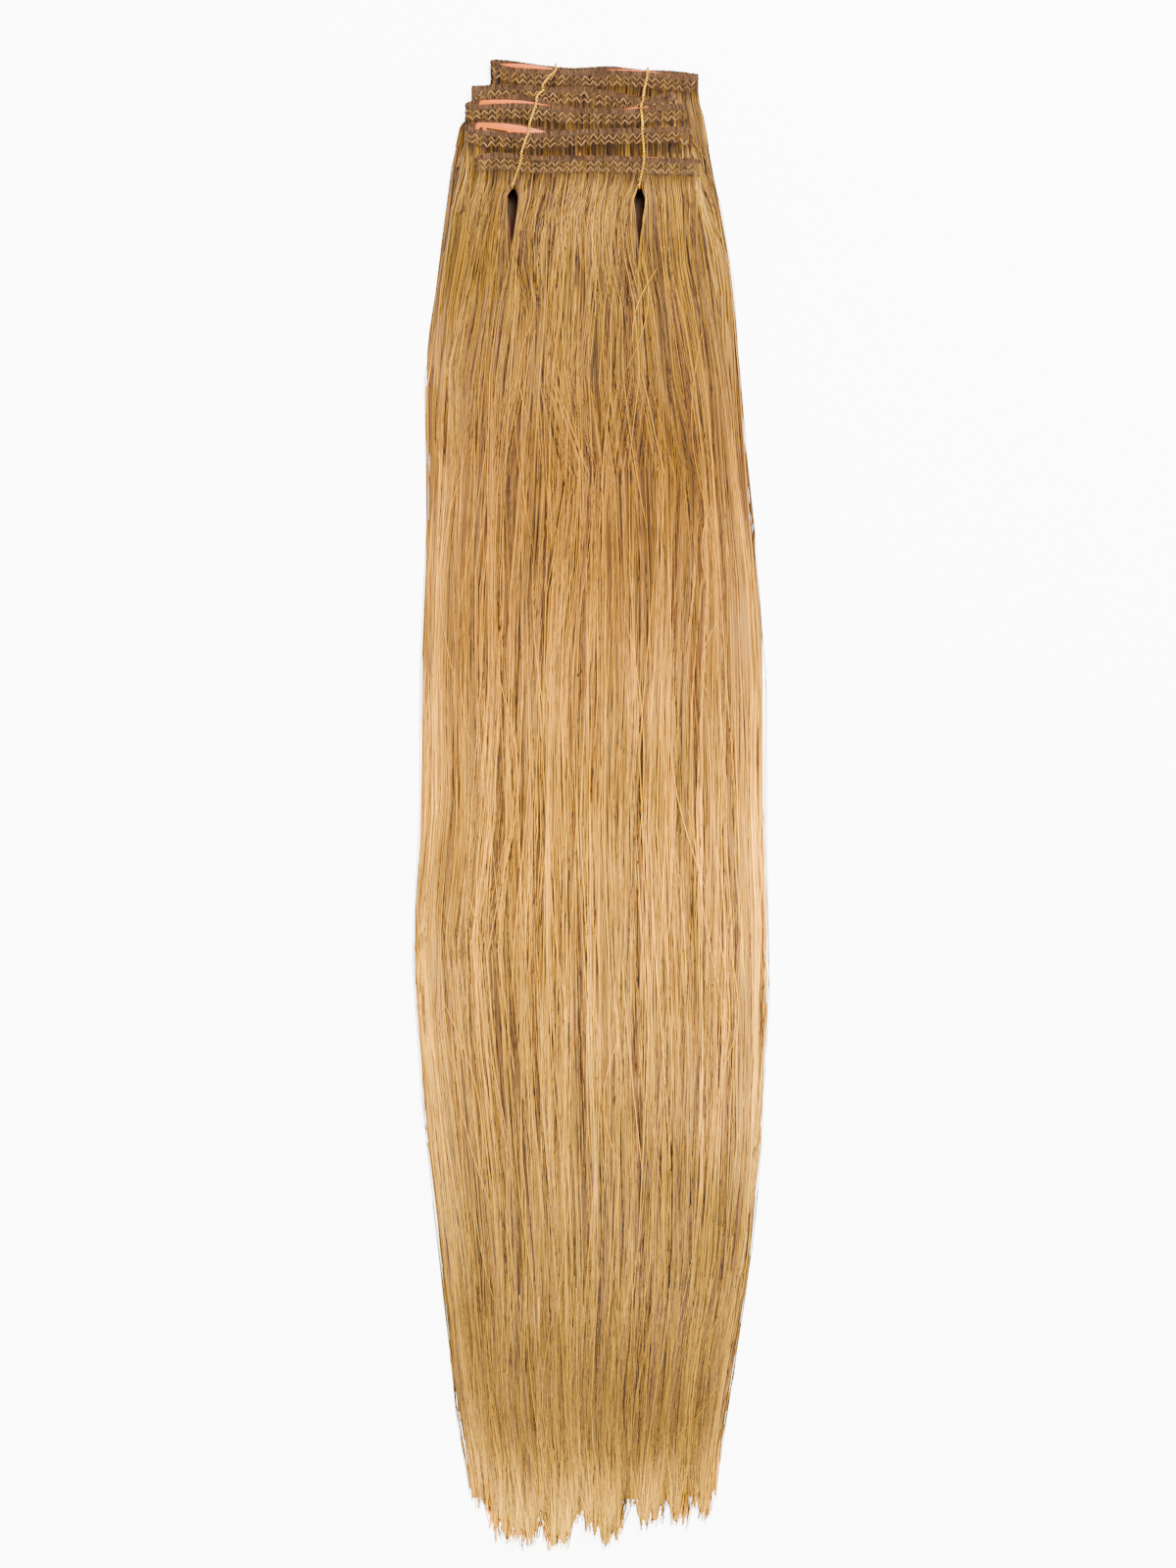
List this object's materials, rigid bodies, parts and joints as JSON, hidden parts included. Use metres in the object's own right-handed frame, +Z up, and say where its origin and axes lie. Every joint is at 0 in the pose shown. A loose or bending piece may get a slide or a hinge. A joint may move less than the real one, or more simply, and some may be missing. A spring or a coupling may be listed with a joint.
{
  "type": "clip in hair extension",
  "caption": "Long straight clip-in hair in sewn wefts, each folded over its snap clips, stacked like shingles and tied with gold cords.",
  "frame": {"origin": "middle of the footprint, on the surface that the bundle lies on", "axes": "+Y from the tips to the sewn wefts, +X to the right seen from the face, +Z up, out of the face"},
  "size_m": [0.137, 0.5708, 0.0213],
  "materials": {
    "hair": "glossy straight hair, golden blonde with brown and reddish strands",
    "band": "sewn weft: mauve-brown overcast edge and tan zigzag stitches over the hair roots",
    "clip": "peach enamel on spring steel",
    "tie": "twisted metallic gold cord"
  },
  "bodies": {
    "root": {"weft_1_band": "band", "weft_1_hair": "hair", "weft_1_clip_left": "clip", "weft_1_clip_right": "clip", "weft_2_band": "band", "weft_2_hair": "hair", "weft_2_clip_left": "clip", "weft_2_clip_right": "clip", "weft_3_band": "band", "weft_3_hair": "hair", "weft_3_clip_left": "clip", "weft_3_clip_right": "clip", "weft_4_band": "band", "weft_4_hair": "hair", "weft_4_clip_left": "clip", "weft_4_clip_left_front": "clip", "weft_4_clip_right": "clip", "weft_5_band": "band", "weft_5_hair": "hair", "weft_5_clip_left": "clip", "weft_5_clip_right": "clip", "tie_left": "tie", "tie_right": "tie"}
  },
  "joints": []
}
